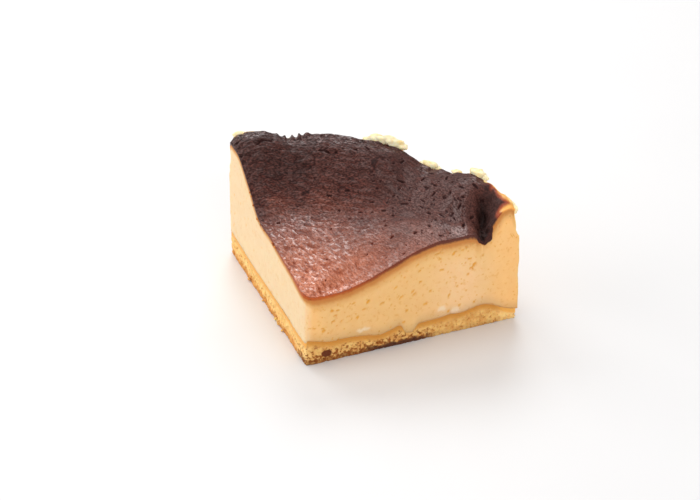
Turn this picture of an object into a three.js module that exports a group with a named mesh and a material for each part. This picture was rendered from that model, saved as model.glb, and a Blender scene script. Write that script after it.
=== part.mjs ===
// A quarter of a small burnt cheesecake: one slice of baked cheese filling with a scorched,
// sunken top, on a thin sheet of sponge. It is the cake's two layers, cut by two knife strokes.
// Millimetres, +Z up. The slice's point faces -Y, its cuts run away from it to either side, and
// the origin lies on the resting plane under the middle of the slice's bounding box.
import * as THREE from "three";

const { degToRad, lerp, smoothstep } = THREE.MathUtils;

// Cake and cuts
const CAKE_RADIUS = 60;
const SLICE_ANGLE = degToRad(89);
const TIP_WEAR = { foot: 0.3, top: 1.2, reach: 3.6 }; // how far the slice's point is worn back

// Sunken top: a low middle, a swell around it and a rim that stayed up where it clung to the tin
const TIP_HEIGHT = 20.4;
const CREST_RADIUS = 57.2; // the rim is highest here
const LEFT_TOP = { swell: 4.2, swellStart: -34, swellEnd: 34, rimStart: 33, rimEnd: 53.5 };
const RIGHT_TOP = { swell: 8.7, swellStart: 8, swellEnd: 39, rimStart: 40, rimEnd: 57 };
const TOP_BLEND = [0.2, 0.95]; // shares of the turn over which the left form becomes the right one

// Rim height along the arc, from the left cut (turn 0) to the right cut (turn 1)
const RIM_LEFT = 37.6;
const RIM_RIGHT = 35.6;
const RIM_BUMPS = [
  { turn: 0, width: 0.012, rise: -1.2 }, // worn down beside the left cut
  { turn: 0.062, width: 0.052, rise: 1.9 },
  { turn: 0.19, width: 0.05, rise: -1 },
  { turn: 0.64, width: 0.1, rise: -3.7 },
];

// Crease in the crust that deepens towards the right cut and swings out to the rim at its other end.
// It leaves a raised corner of the rim standing behind it.
const CREASE = { radius: 49.6, swing: 22, bend: 200, width: 1.6, depth: 2.6 };
const CORNER_RISE = [0, 6]; // distances behind the crease over which the corner rises to the rim
const CREASE_BLEND = [0.83, 0.95]; // shares of the turn over which the crease forms
const RIM_WALL = [54.8, 57]; // radii over which the rim closes the crease's far end

// Shoulder from the crest out to the wall, uneven where the crust tore away, with one tall crag and
// a worn corner at the right cut
const SHOULDER = { drop: 2.3, unevenness: 1.2, pitch: 7, seed: 4 };
const CRAG = { turn: 0.46, width: 0.045, rise: 2.6 };
const WORN_CORNER = { width: 0.04, fall: 2.2 };

// Outer wall: a little wider at its foot, torn back above a ledge where the lining paper pulled off
const WALL_FOOT = 0.8; // how far the foot stands out past the cake's radius
const WALL_HEIGHT = 33;
const TEAR = { height: 26.2, blur: 1.6, depth: 1.1 };

// Relief of the crust and of the torn wall
const CRUST_RELIEF = { pitch: 5.2, middle: 0.16, rim: 0.55, growthStart: 36, seed: 1 };
const WALL_RELIEF = { pitch: 4.6, smooth: 0.14, torn: 0.5, seed: 2 };

// Sponge sheet: thicker at the left cut, swollen near the wall and thin at its edge at the right cut
const SPONGE_LEFT = 6.8;
const SPONGE_RIGHT = 5.2;
const SPONGE_TIP = { rise: 1.9, reach: 8 };
const SPONGE_SWELL = { radius: 50, width: 4, rise: 1.4 };
const SPONGE_EDGE = { radius: 52, fall: 2.3 };
const SPONGE_WAVE = { pitch: 15, rise: 0.35, seed: 3 };
const SPONGE_INSET = 0.7; // the sheet's outer edge stands this far inside the filling's foot
const LAYER_GAP = 0.3; // between the two solids

// Large steps that scatter the values of neighbouring grid points of the relief's noise
const SCATTER = { across: 127.1, along: 311.7, seed: 74.7, spread: 43758.5453 };

// Fineness of the meshes
const PLAN_CELLS = 32; // along each cut
const RIM_BIAS = 0.3; // crowds the cells towards the rim
const FILLING_ROWS = 8;
const SPONGE_ROWS = 2;

// Looks
const FILLING_LOOK = { color: 0xe9bf80, roughness: 0.6, metalness: 0 };
const SPONGE_LOOK = { color: 0xd9a560, roughness: 0.9, metalness: 0 };

// A smooth hump of height 1 and the given half width around 0
function hump(distance, width) {
  return Math.exp(-((distance / width) ** 2));
}

// A fixed pseudo-random number from -1 to 1 for each grid point
function latticeValue(i, j, seed) {
  const phase = i * SCATTER.across + j * SCATTER.along + seed * SCATTER.seed;
  const wild = SCATTER.spread * Math.sin(phase);
  return 2 * (wild - Math.floor(wild)) - 1;
}

// Smooth noise from -1 to 1 over a plane, with one grid point for each unit
function noise(x, y, seed) {
  const i = Math.floor(x);
  const j = Math.floor(y);
  const fx = smoothstep(x - i, 0, 1);
  const fy = smoothstep(y - j, 0, 1);
  const near = lerp(latticeValue(i, j, seed), latticeValue(i + 1, j, seed), fx);
  const far = lerp(latticeValue(i, j + 1, seed), latticeValue(i + 1, j + 1, seed), fx);
  return lerp(near, far, fy);
}

// Height of the rim's crest along the arc
function rimHeight(turn) {
  let height = lerp(RIM_LEFT, RIM_RIGHT, turn);
  for (const bump of RIM_BUMPS) height += bump.rise * hump(turn - bump.turn, bump.width);
  return height;
}

// How far the crust falls from the crest to the wall
function shoulderFall(radius, turn) {
  const along = turn * SLICE_ANGLE * CAKE_RADIUS;
  const uneven = SHOULDER.unevenness * noise(along / SHOULDER.pitch, 0, SHOULDER.seed);
  const crag = CRAG.rise * hump(turn - CRAG.turn, CRAG.width);
  const fall = SHOULDER.drop + uneven - crag + WORN_CORNER.fall * hump(1 - turn, WORN_CORNER.width);
  return fall * Math.max(0, (radius - CREST_RADIUS) / (CAKE_RADIUS - CREST_RADIUS)) ** 2;
}

// Height of the baked top without its relief
function topForm(radius, turn) {
  const rightness = smoothstep(turn, ...TOP_BLEND);
  const form = (key) => lerp(LEFT_TOP[key], RIGHT_TOP[key], rightness);
  const swelling = (at) => smoothstep(at, form("swellStart"), form("swellEnd"));
  const swell = (swelling(radius) - swelling(0)) / (1 - swelling(0));
  const inner = TIP_HEIGHT + form("swell") * swell;
  const rise = smoothstep(radius, form("rimStart"), form("rimEnd"));

  const creased = smoothstep(turn, ...CREASE_BLEND);
  const away = 1 - turn; // from the right cut
  const behind = radius - (CREASE.radius + CREASE.swing * away + CREASE.bend * away ** 2);
  const cornerRise = smoothstep(behind, ...CORNER_RISE);
  const crease = creased * CREASE.depth * hump(behind, CREASE.width) * (1 - cornerRise);
  const closed = Math.max(cornerRise, smoothstep(radius, ...RIM_WALL));
  const climb = lerp(rise, closed, creased);
  return lerp(inner, rimHeight(turn), climb) - crease - shoulderFall(radius, turn);
}

// Height of the baked top with its lumps, which grow towards the rim
function topHeight(radius, turn) {
  const along = turn * SLICE_ANGLE * radius;
  const { pitch, middle, rim, growthStart, seed } = CRUST_RELIEF;
  const strength = lerp(middle, rim, smoothstep(radius, growthStart, CREST_RADIUS));
  return topForm(radius, turn) + strength * noise(along / pitch, radius / pitch, seed);
}

// Radius of the filling's outer wall at a height
function wallRadius(height, turn) {
  const torn = smoothstep(height, TEAR.height - TEAR.blur / 2, TEAR.height + TEAR.blur / 2);
  const along = turn * SLICE_ANGLE * CAKE_RADIUS;
  const { pitch, smooth, torn: rough, seed } = WALL_RELIEF;
  return (
    CAKE_RADIUS +
    WALL_FOOT * (1 - height / WALL_HEIGHT) -
    TEAR.depth * torn +
    lerp(smooth, rough, torn) * noise(along / pitch, height / pitch, seed)
  );
}

// Height of the sponge sheet's top
function spongeHeight(radius, turn) {
  const rightness = smoothstep(turn, 0, 1);
  const along = turn * SLICE_ANGLE * radius;
  const { pitch, rise, seed } = SPONGE_WAVE;
  return (
    lerp(SPONGE_LEFT, SPONGE_RIGHT, rightness) +
    rightness * SPONGE_TIP.rise * hump(radius, SPONGE_TIP.reach) +
    rightness * SPONGE_SWELL.rise * hump(radius - SPONGE_SWELL.radius, SPONGE_SWELL.width) -
    rightness * SPONGE_EDGE.fall * smoothstep(radius, SPONGE_EDGE.radius, CAKE_RADIUS) +
    rise * noise(along / pitch, radius / pitch, seed)
  );
}

// Place in the slice's plan of a point of the unit square: its share of the way from the point to
// the wall, and its turn from the left cut to the right one. The square's sides from 0, 0 become
// the cuts, and its other two sides share the arc.
function planOf(square) {
  const [u, v] = square.map((t) => t + RIM_BIAS * t * (1 - t));
  const alongRight = u * Math.sqrt(1 - (v * v) / 2);
  const alongLeft = v * Math.sqrt(1 - (u * u) / 2);
  const quarter = Math.PI / 2;
  const turn = u + v > 0 ? 1 - Math.atan2(alongLeft, alongRight) / quarter : 0.5;
  return { share: Math.hypot(alongRight, alongLeft), turn };
}

// The point of the slice at a radius, a turn and a height
function slicePoint(radius, turn, height) {
  const angle = Math.PI / 2 + SLICE_ANGLE * (0.5 - turn);
  const worn = lerp(TIP_WEAR.foot, TIP_WEAR.top, height / TIP_HEIGHT);
  const wear = worn * Math.max(0, 1 - radius / TIP_WEAR.reach);
  return new THREE.Vector3(radius * Math.cos(angle), radius * Math.sin(angle) + wear, height);
}

// A closed block of the slice between two heights: a box grid, warped. heights gives the layer's
// lowest and highest point at a place in the plan, and outer its wall's radius at a height.
function sliceLayer(rows, heights, outer) {
  const geometry = new THREE.BoxGeometry(1, 1, 1, PLAN_CELLS, PLAN_CELLS, rows);
  geometry.deleteAttribute("normal");
  geometry.deleteAttribute("uv");
  const position = geometry.getAttribute("position");
  for (let i = 0; i < position.count; i++) {
    const square = [position.getX(i) + 0.5, position.getY(i) + 0.5];
    const { share, turn } = planOf(square);
    const [low, high] = heights(share * CAKE_RADIUS, turn);
    const height = lerp(low, high, position.getZ(i) + 0.5);
    const point = slicePoint(share * outer(height, turn), turn, height);
    position.setXYZ(i, point.x, point.y, point.z);
  }
  geometry.computeVertexNormals();
  return geometry;
}

// Baked cheese with its scorched top
function makeFilling() {
  const heights = (radius, turn) => [spongeHeight(radius, turn) + LAYER_GAP, topHeight(radius, turn)];
  const geometry = sliceLayer(FILLING_ROWS, heights, wallRadius);
  const filling = new THREE.Mesh(geometry, new THREE.MeshStandardMaterial(FILLING_LOOK));
  filling.name = "cheese_filling";
  return filling;
}

// Sponge sheet under the filling
function makeSponge() {
  const heights = (radius, turn) => [0, spongeHeight(radius, turn)];
  const outer = () => CAKE_RADIUS + WALL_FOOT - SPONGE_INSET;
  const geometry = sliceLayer(SPONGE_ROWS, heights, outer);
  const sponge = new THREE.Mesh(geometry, new THREE.MeshStandardMaterial(SPONGE_LOOK));
  sponge.name = "sponge_base";
  return sponge;
}

const slice = new THREE.Group();
slice.name = "cheesecake_slice";
slice.add(makeFilling(), makeSponge());

// The slice was worked out around the whole cake's middle, and is centred over its own footprint.
const bounds = new THREE.Box3().setFromObject(slice);
const middle = bounds.getCenter(new THREE.Vector3());
for (const layer of slice.children) layer.position.set(-middle.x, -middle.y, -bounds.min.z);

export default slice;
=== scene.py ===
import math

import bmesh
import bpy
import numpy as np
from mathutils import Matrix, Vector, kdtree, noise


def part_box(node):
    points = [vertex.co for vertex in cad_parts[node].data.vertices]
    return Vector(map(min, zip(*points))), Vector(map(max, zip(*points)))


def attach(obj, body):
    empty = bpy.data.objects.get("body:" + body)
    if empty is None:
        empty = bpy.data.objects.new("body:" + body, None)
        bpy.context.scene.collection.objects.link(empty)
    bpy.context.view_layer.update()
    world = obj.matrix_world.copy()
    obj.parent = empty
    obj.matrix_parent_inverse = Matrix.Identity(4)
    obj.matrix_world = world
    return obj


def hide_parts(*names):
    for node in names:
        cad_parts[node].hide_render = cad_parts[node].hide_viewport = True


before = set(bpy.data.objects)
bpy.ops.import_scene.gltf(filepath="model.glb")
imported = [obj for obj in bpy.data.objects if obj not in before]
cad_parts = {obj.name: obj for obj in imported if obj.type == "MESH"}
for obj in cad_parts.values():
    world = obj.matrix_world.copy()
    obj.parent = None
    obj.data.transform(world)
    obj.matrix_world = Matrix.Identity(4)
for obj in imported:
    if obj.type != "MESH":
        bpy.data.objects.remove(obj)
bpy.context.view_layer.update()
spongeLow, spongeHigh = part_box("sponge_base")
print("frame: nodes", sorted(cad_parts))

mm = 0.001
rng = np.random.default_rng(7)


# small maths on arrays

def smooth(x, low, high):
    t = np.clip((x - low) / (high - low), 0, 1)
    return t * t * (3 - 2 * t)


def hump(x, width):
    return np.exp(-((x / width) ** 2))


def blend(a, b, t):
    return a + (b - a) * t


def grain(points, pitch, seed=0.0):  # gradient noise, about -1 to 1, lumps of that pitch
    return np.array([noise.noise(p) for p in (points / pitch + seed).tolist()])


# form of the slice, in millimetres from the whole cake's middle, as the solids have it
wedge = {
    "radius": 60,
    "angle": math.radians(89),
    "wearFoot": 0.3,  # how far the point is worn back, at its foot and at its top
    "wearTop": 1.7,
    "wearRound": 3,  # higher is flatter
    "rimBias": 0.3,  # crowds the grid towards the rim
}
wedge["axisY"] = spongeLow.y / mm - wedge["wearFoot"]

crustForm = {
    "tipHeight": 20.4,
    "crest": 57.2,
    "left": {"swell": 4.2, "swellStart": -34, "swellEnd": 34, "rimStart": 33, "rimEnd": 53.5},
    "right": {"swell": 8.7, "swellStart": 8, "swellEnd": 39, "rimStart": 40, "rimEnd": 57},
    "leftToRight": (0.2, 0.95),
    "rimLeft": 37.6,
    "rimRight": 35.6,
    # lumps and notches along the rim: where, how wide and how high
    "rimBumps": [
        (0, 0.012, -1.2), (0.062, 0.052, 1.9), (0.19, 0.05, -1.0), (0.64, 0.1, -3.7), (1, 0.03, -1.5),
    ],
    "crease": {"radius": 49.6, "swing": 22, "bend": 200, "width": 1.3, "depth": 2.6},
    "cornerRise": (0, 6),
    "rimWall": (54.8, 57),  # the rim closes the crease's far end
    "creaseTurn": (0.83, 0.95),
    "shoulder": {"drop": 2.3, "unevenness": 1.2, "pitch": 7, "seed": 4},
    "crag": {"turn": 0.46, "width": 0.045, "rise": 2.6},
    "wornCorner": {"width": 0.04, "fall": 1.5},
    "relief": {"pitch": 5.2, "middle": 0.16, "rim": 0.55, "start": 36, "seed": 1},
}

wallForm = {
    "foot": 0.8,
    "height": 33,
    "tearHeight": 26.2,
    "tearBlur": 1.6,
    "tearDepth": 1.1,
    "relief": {"pitch": 4.6, "smooth": 0.14, "torn": 0.5, "seed": 2},
}

spongeForm = {
    "left": 6.8,
    "right": 5.2,
    "tip": {"rise": 1.9, "reach": 8},
    "swell": {"radius": 50, "width": 4, "rise": 1.4},
    "edge": {"radius": 52, "fall": 2.3},
    # ripples along the right cut: radius, width and rise
    "ripples": [(1, 3, 0.6), (12, 4, 0.7), (20.5, 2.5, -0.7), (26.2, 1.5, 0.7), (41, 1.2, 0.4)],
    "break": {"radius": 29.2, "width": 1.9, "fall": 2.2, "turn": (0.7, 1)},
    "wave": {"pitch": 15, "rise": 0.35, "seed": 3},
    "inset": 0.7,
}

longWaves = {"rise": 0.1, "grain": (8, 2.2)}  # shared by the cheese's and the sponge's cuts
latticeSteps = {"across": 127.1, "along": 311.7, "seed": 74.7, "spread": 43758.5453}


def latticeValue(i, j, seed):
    steps = latticeSteps
    wild = steps["spread"] * np.sin(i * steps["across"] + j * steps["along"] + seed * steps["seed"])
    return 2 * (wild - np.floor(wild)) - 1


def waves(x, y, seed):  # the solids' own lumps
    i, j = np.floor(x), np.floor(y)
    fx, fy = smooth(x - i, 0, 1), smooth(y - j, 0, 1)
    near = blend(latticeValue(i, j, seed), latticeValue(i + 1, j, seed), fx)
    far = blend(latticeValue(i, j + 1, seed), latticeValue(i + 1, j + 1, seed), fx)
    return blend(near, far, fy)


def rimHeight(turn):
    bumps = sum(rise * hump(turn - at, width) for at, width, rise in crustForm["rimBumps"])
    return blend(crustForm["rimLeft"], crustForm["rimRight"], turn) + bumps


def shoulderFall(radius, turn):
    shoulder, crag, worn = crustForm["shoulder"], crustForm["crag"], crustForm["wornCorner"]
    along = turn * wedge["angle"] * wedge["radius"] / shoulder["pitch"]
    fall = shoulder["drop"] + shoulder["unevenness"] * waves(along, 0 * along, shoulder["seed"])
    fall = fall - crag["rise"] * hump(turn - crag["turn"], crag["width"])
    fall = fall + worn["fall"] * hump(1 - turn, worn["width"])
    crest = crustForm["crest"]
    return fall * np.maximum(0, (radius - crest) / (wedge["radius"] - crest)) ** 2


def creaseDistance(radius, turn):  # how far behind the crease a place lies, towards the rim
    crease, away = crustForm["crease"], 1 - turn
    return radius - (crease["radius"] + crease["swing"] * away + crease["bend"] * away**2)


def crustHeight(radius, turn):
    form, relief, crease = crustForm, crustForm["relief"], crustForm["crease"]
    rightness = smooth(turn, *form["leftToRight"])
    here = {key: blend(form["left"][key], form["right"][key], rightness) for key in form["left"]}
    startSwell = smooth(0, here["swellStart"], here["swellEnd"])
    swell = (smooth(radius, here["swellStart"], here["swellEnd"]) - startSwell) / (1 - startSwell)
    inner = form["tipHeight"] + here["swell"] * swell
    creased = smooth(turn, *form["creaseTurn"])
    behind = creaseDistance(radius, turn)
    corner = smooth(behind, *form["cornerRise"])
    sunk = creased * crease["depth"] * hump(behind, crease["width"]) * (1 - corner)
    corner = np.maximum(corner, smooth(radius, *form["rimWall"]))
    climb = blend(smooth(radius, here["rimStart"], here["rimEnd"]), corner, creased)
    along = turn * wedge["angle"] * radius
    strength = blend(relief["middle"], relief["rim"], smooth(radius, relief["start"], form["crest"]))
    lumps = strength * waves(along / relief["pitch"], radius / relief["pitch"], relief["seed"])
    return blend(inner, rimHeight(turn), climb) - sunk - shoulderFall(radius, turn) + lumps


def wallRadius(height, turn):
    form, relief = wallForm, wallForm["relief"]
    half = form["tearBlur"] / 2
    torn = smooth(height, form["tearHeight"] - half, form["tearHeight"] + half)
    along = turn * wedge["angle"] * wedge["radius"]
    lumps = waves(along / relief["pitch"], height / relief["pitch"], relief["seed"])
    spread = form["foot"] * (1 - height / form["height"]) - form["tearDepth"] * torn
    return wedge["radius"] + spread + blend(relief["smooth"], relief["torn"], torn) * lumps


def spongeTop(radius, turn):
    form, wave = spongeForm, spongeForm["wave"]
    rightness = smooth(turn, 0, 1)
    along = turn * wedge["angle"] * radius
    bumps = (
        form["tip"]["rise"] * hump(radius, form["tip"]["reach"])
        + form["swell"]["rise"] * hump(radius - form["swell"]["radius"], form["swell"]["width"])
        - form["edge"]["fall"] * smooth(radius, form["edge"]["radius"], wedge["radius"])
        + sum(rise * hump(radius - at, width) for at, width, rise in form["ripples"])
    )
    ripple = wave["rise"] * waves(along / wave["pitch"], radius / wave["pitch"], wave["seed"])
    bumps = bumps - form["break"]["fall"] * spongeBreak(radius, turn)
    return blend(form["left"], form["right"], rightness) + rightness * bumps + ripple


def spongeBreak(radius, turn):  # where the cheese has run down through the sponge's top
    gap = spongeForm["break"]
    return hump((radius - gap["radius"]) ** 2, gap["width"] ** 2) * smooth(turn, *gap["turn"])


def longWave(points):
    return longWaves["rise"] * grain(points, *longWaves["grain"])


def slicePoints(radius, turn, height):
    angle = math.pi / 2 + wedge["angle"] * (0.5 - turn)
    worn = blend(wedge["wearFoot"], wedge["wearTop"], height / crustForm["tipHeight"])
    power = wedge["wearRound"]
    away = ((radius * np.sin(angle)) ** power + worn**power) ** (1 / power)
    return np.stack([radius * np.cos(angle), away, height], 1)


def slicePoint(*place):  # one radius, turn and height
    return slicePoints(*(np.array([float(value)]) for value in place))[0]


# meshes of the slice: a lid of cells, or a bare rim, with a skirt of rows under it

def skirtDown(bm, edge, rows):
    for _ in range(rows):
        made = bmesh.ops.extrude_edge_only(bm, edges=edge)["geom"]
        lower = [g for g in made if isinstance(g, bmesh.types.BMVert)]
        bmesh.ops.translate(bm, verts=lower, vec=(0, 0, -1))
        edge = [g for g in made if isinstance(g, bmesh.types.BMEdge) and g.is_boundary]
    bmesh.ops.contextual_create(bm, geom=edge)  # the floor
    bm.verts.index_update()
    ranked = sorted(bm.faces, key=cornerNumbers)  # extruding leaves another order each run
    for rank, face in enumerate(ranked):
        face.index = rank
    bm.faces.sort()


def cornerNumbers(face):
    return sorted(vert.index for vert in face.verts)


def squareLid(cells):  # a full grid over the unit square
    bm = bmesh.new()
    bmesh.ops.create_grid(bm, x_segments=cells, y_segments=cells, size=0.5)
    bmesh.ops.translate(bm, verts=bm.verts[:], vec=(0.5, 0.5, 0))
    return bm


def squareRim(cells):  # only the unit square's outline, capped by one face
    bm = bmesh.new()
    bmesh.ops.create_circle(bm, cap_ends=True, segments=4 * cells, radius=1)
    corners = [Vector((0, 0, 0)), Vector((1, 0, 0)), Vector((1, 1, 0)), Vector((0, 1, 0))]
    bm.verts.ensure_lookup_table()
    for i, vert in enumerate(bm.verts):
        side, step = divmod(i, cells)
        vert.co = corners[side].lerp(corners[(side + 1) % 4], step / cells)
    return bm


def sliceSkin(name, bm, rows, rowCrowd, low, high, outer):
    skirtDown(bm, [e for e in bm.edges if e.is_boundary], rows)
    mesh = intoMesh(bm, name)
    grid = readVectors(mesh.vertices, "co")
    u, v = (t + wedge["rimBias"] * t * (1 - t) for t in (grid[:, 0], grid[:, 1]))
    onRight = u * np.sqrt(1 - v * v / 2)  # the unit square pulled out to a quarter disc
    onLeft = v * np.sqrt(1 - u * u / 2)
    share = np.hypot(onRight, onLeft)
    turn = np.where(share > 0, 1 - np.arctan2(onLeft, onRight) / (math.pi / 2), 0.5)
    drop = (-grid[:, 2] / rows) ** rowCrowd
    radius = share * wedge["radius"]
    for _ in range(2):  # the height sets how far the wall reaches, and that sets the height
        plan = np.minimum(radius, wedge["radius"])
        height = blend(high(plan, turn), low(plan, turn), drop)
        radius = share * outer(height, turn)
    hair = 1e-6
    skin = {
        "mesh": mesh,
        "radius": radius,
        "turn": turn,
        "height": height,
        "top": grid[:, 2] > -0.5,
        "left": grid[:, 0] < hair,
        "right": grid[:, 1] < hair,
        "wall": np.maximum(grid[:, 0], grid[:, 1]) > 1 - hair,
        "points": slicePoints(radius, turn, height),
    }
    skin["side"] = ~skin["top"]
    writePoints(skin)
    turnOut(mesh)
    return skin


def intoMesh(bm, name):
    mesh = bpy.data.meshes.new(name)
    bm.to_mesh(mesh)
    bm.free()
    return mesh


def addObject(name, data):
    made = bpy.data.objects.new(name, data)
    bpy.context.scene.collection.objects.link(made)
    return made


def readVectors(items, key):
    flat = np.empty(len(items) * 3)
    items.foreach_get(key, flat)
    return flat.reshape(-1, 3)


def writePoints(skin):
    skin["mesh"].vertices.foreach_set("co", skin["points"].ravel())
    skin["mesh"].update()


def turnOut(mesh):
    bm = bmesh.new()
    bm.from_mesh(mesh)
    bmesh.ops.recalc_face_normals(bm, faces=bm.faces[:])
    bm.to_mesh(mesh)
    bm.free()


def readNormals(mesh):
    return readVectors(mesh.vertex_normals, "vector")


def swellBy(skin, amount):  # moves the skin along its normals, in millimetres
    skin["points"] = skin["points"] + readNormals(skin["mesh"]) * amount[:, None]
    writePoints(skin)


def note(mesh, name, values):  # a value for each point, which the materials read
    mesh.attributes.new(name, "FLOAT", "POINT").data.foreach_set("value", values.astype(np.float32))


def noteTones(mesh, name, tones):  # a colour for each point
    colours = tones.astype(np.float32).ravel()
    mesh.attributes.new(name, "FLOAT_COLOR", "POINT").data.foreach_set("color", colours)


def paint(under, over, share):  # lays colours over others, by a share for each point
    return blend(np.array(under), np.array(over), share[:, None])


def rampTones(values, stops):
    places = [place for place, _ in stops]
    channels = np.array([colour for _, colour in stops]).T
    return np.stack([np.interp(values, places, channel) for channel in channels], 1)


def finishPiece(mesh, name, material):
    mesh.transform(Matrix.Translation((0, wedge["axisY"] * mm, 0)) @ Matrix.Scale(mm, 4))
    mesh.shade_smooth()
    for face in mesh.polygons:
        if face.loop_total > 4:
            face.use_smooth = False  # floors and hidden lids
    mesh.materials.append(material)
    piece = addObject(name, mesh)
    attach(piece, "root")
    return piece


# hollows: bowls sunk into a skin, longer than wide, and trenches

bowlForm = {"reach": 1.2, "raggedness": 0.4, "grain": (0.5, 2.5), "steepness": 0.7}


def scatterBowls(weights, form):  # at random, with more of them where the weights are high
    bowls = []
    for place in rng.choice(len(weights), form["count"], p=weights / weights.sum()):
        length = rng.uniform(*form["lengths"])
        width = length * rng.uniform(*form["slimness"])
        depth = rng.uniform(*form["depths"])
        lie = np.array(form["heading"], float) + rng.normal(0, form["wander"], 3)
        bowls.append((place, length, width, depth, lie))
    return bowls


def sinkBowls(skin, bowls):  # each has its place, half length, half width, depth and the way it lies
    tree = kdtree.KDTree(len(skin["points"]))
    for i, point in enumerate(skin["points"]):
        tree.insert(point, i)
    tree.balance()
    normals = readNormals(skin["mesh"])
    sink, mark = np.zeros(len(normals)), np.zeros(len(normals))
    for place, length, width, depth, lie in bowls:
        lie = lie - normals[place] * (lie @ normals[place])
        lie = lie / np.linalg.norm(lie)
        reach = bowlForm["reach"] * max(length, width)
        found = [i for _, i, _ in tree.find_range(skin["points"][place], reach)]
        offset = skin["points"][found] - skin["points"][place]
        along = offset @ lie
        across = np.linalg.norm(offset - np.outer(along, lie), axis=1)
        ragged = bowlForm["raggedness"] * grain(skin["points"][found], *bowlForm["grain"])
        bowl = np.clip(1 - (along / length) ** 2 - (across / width) ** 2 + ragged, 0, 1)
        sink[found] = np.maximum(sink[found], depth * bowl ** bowlForm["steepness"])
        mark[found] = np.maximum(mark[found], bowl)
    return sink, mark


def sinkCracks(skin, form):  # narrow trenches along lines of radius and turn
    flat = skin["points"][:, :2]
    nearest = np.full(len(flat), np.inf)
    for line in form["lines"]:
        radius, turn = np.array(line).T
        bends = slicePoints(radius, turn, 0 * radius)[:, :2]
        for start, end in zip(bends[:-1], bends[1:]):
            share = np.clip((flat - start) @ (end - start) / ((end - start) @ (end - start)), 0, 1)
            gap = np.linalg.norm(flat - start - np.outer(share, end - start), axis=1)
            nearest = np.minimum(nearest, gap)
    wander = form["wander"] * grain(skin["points"], *form["grain"])
    mark = hump(nearest + wander, form["width"]) * skin["top"]
    return form["depth"] * mark, mark


def span(skin, form):  # how far each place lies within the ranges, the zone and the hump that a form gives
    share = 1  # a range may also run downwards
    for key in ("radius", "turn", "behind", "depth", "amber"):
        if key in form:
            share = share * smooth(skin[key], *form[key])
    if "zone" in form:
        share = share * skin["zones"][form["zone"]]
    if "hump" in form:
        key, at, width = form["hump"]
        share = share * hump(skin[key] - at, width)
    return share


def layered(skin, forms):  # amounts added up, each as far as its form reaches
    return sum(form["add"] * span(skin, form) for form in forms)


def rightSpot(skin, at, level, halfWidth, halfHeight, ragged=0):  # an oval spot on the right cut
    spot = 1 - ((skin["radius"] - at) / halfWidth) ** 2 - ((skin["height"] - level) / halfHeight) ** 2
    return np.clip(spot + ragged, 0, 1) * skin["right"]


# shader helpers

def tone(red, green, blue):  # a screen colour, 0 to 255, as a linear one
    channels = [c / 255 for c in (red, green, blue)]
    return (*[c / 12.92 if c <= 0.04045 else ((c + 0.055) / 1.055) ** 2.4 for c in channels], 1)


class Wire:  # a socket that takes part in sums
    def __init__(self, bench, socket):
        self.bench = bench
        self.socket = socket

    def math(self, operation, *values):
        return self.bench.add("Math", {"operation": operation}, dict(enumerate(values)))

    def __add__(self, other):
        return self.math("ADD", self, other)

    def __radd__(self, other):
        return self.math("ADD", other, self)

    def __sub__(self, other):
        return self.math("SUBTRACT", self, other)

    def __rsub__(self, other):
        return self.math("SUBTRACT", other, self)

    def __mul__(self, other):
        return self.math("MULTIPLY", self, other)

    def __rmul__(self, other):
        return self.math("MULTIPLY", other, self)

    def step(self, low, high, start=0.0, end=1.0):  # eased, as the value goes from low to high
        sockets = {"Value": self, "From Min": low, "From Max": high, "To Min": start, "To Max": end}
        return self.bench.add("MapRange", {"interpolation_type": "SMOOTHSTEP"}, sockets)


class Bench:  # a material on the workbench
    def __init__(self, name):
        self.material = bpy.data.materials.new(name)
        self.material.use_nodes = True
        self.tree = self.material.node_tree
        self.tree.nodes.clear()
        self.place = self.add("TexCoord", result=3)

    def add(self, kind, settings=None, sockets=None, result=0):
        node = self.tree.nodes.new("ShaderNode" + kind)
        for key, value in (settings or {}).items():
            setattr(node, key, value)
        for key, value in (sockets or {}).items():
            self.plug(self.findSocket(node, key), value)
        return Wire(self, node.outputs[result])

    def findSocket(self, node, key):
        if isinstance(key, int):
            return node.inputs[key]
        return next(s for s in node.inputs if key in (s.identifier, s.name) and s.enabled)

    def plug(self, socket, value):
        if isinstance(value, Wire):
            self.tree.links.new(value.socket, socket)
        else:
            socket.default_value = value

    def attribute(self, name):
        return self.add("Attribute", {"attribute_name": name}, result=2)

    def attributeTone(self, name):
        return self.add("Attribute", {"attribute_name": name})

    def tint(self, factor, colour, by):  # the colour multiplied by another, as far as the factor says
        return self.mixColour(factor, colour, by, "MULTIPLY")

    def mixColour(self, factor, first, second, how="MIX"):
        settings = {"data_type": "RGBA", "blend_type": how}
        return self.add("Mix", settings, {"Factor": factor, "A": first, "B": second}, result=2)

    def mottle(self, size, detail=2.0, roughness=0.5, place=None):  # noise, with its size in millimetres
        sockets = {"Scale": 1 / (size * mm), "Detail": detail, "Roughness": roughness}
        return self.add("TexNoise", {}, {"Vector": place or self.place, **sockets})

    def bump(self, height, strength, depth):
        return self.add("Bump", {}, {"Height": height, "Strength": strength, "Distance": depth * mm})

    def softFood(self, colour, roughness, soak, normal):  # light soaks into it
        return self.add("BsdfPrincipled", {}, {
            "Base Color": colour,
            "Roughness": roughness,
            "Subsurface Weight": soak["weight"],
            "Subsurface Radius": soak["radius"],
            "Subsurface Scale": soak["depth"] * mm,
            "Specular IOR Level": soak["specular"],
            "Normal": normal,
        })

    def spots(self, size, unevenness, reach):  # separate spots, in half of the cells of that size
        sockets = {"Vector": self.place, "Scale": 1 / (size * mm)}
        distance = self.add("TexVoronoi", {}, sockets)
        cell = self.add("SeparateColor", {}, {"Color": self.add("TexVoronoi", {}, sockets, result=1)})
        blur = 0.04
        return (distance + unevenness - cell.step(0.5, 1) * reach).step(blur, -blur)

    def finish(self, shader):
        output = self.tree.nodes.new("ShaderNodeOutputMaterial")
        self.plug(output.inputs["Surface"], shader)
        return self.material


# baked cheese and its crust

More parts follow.
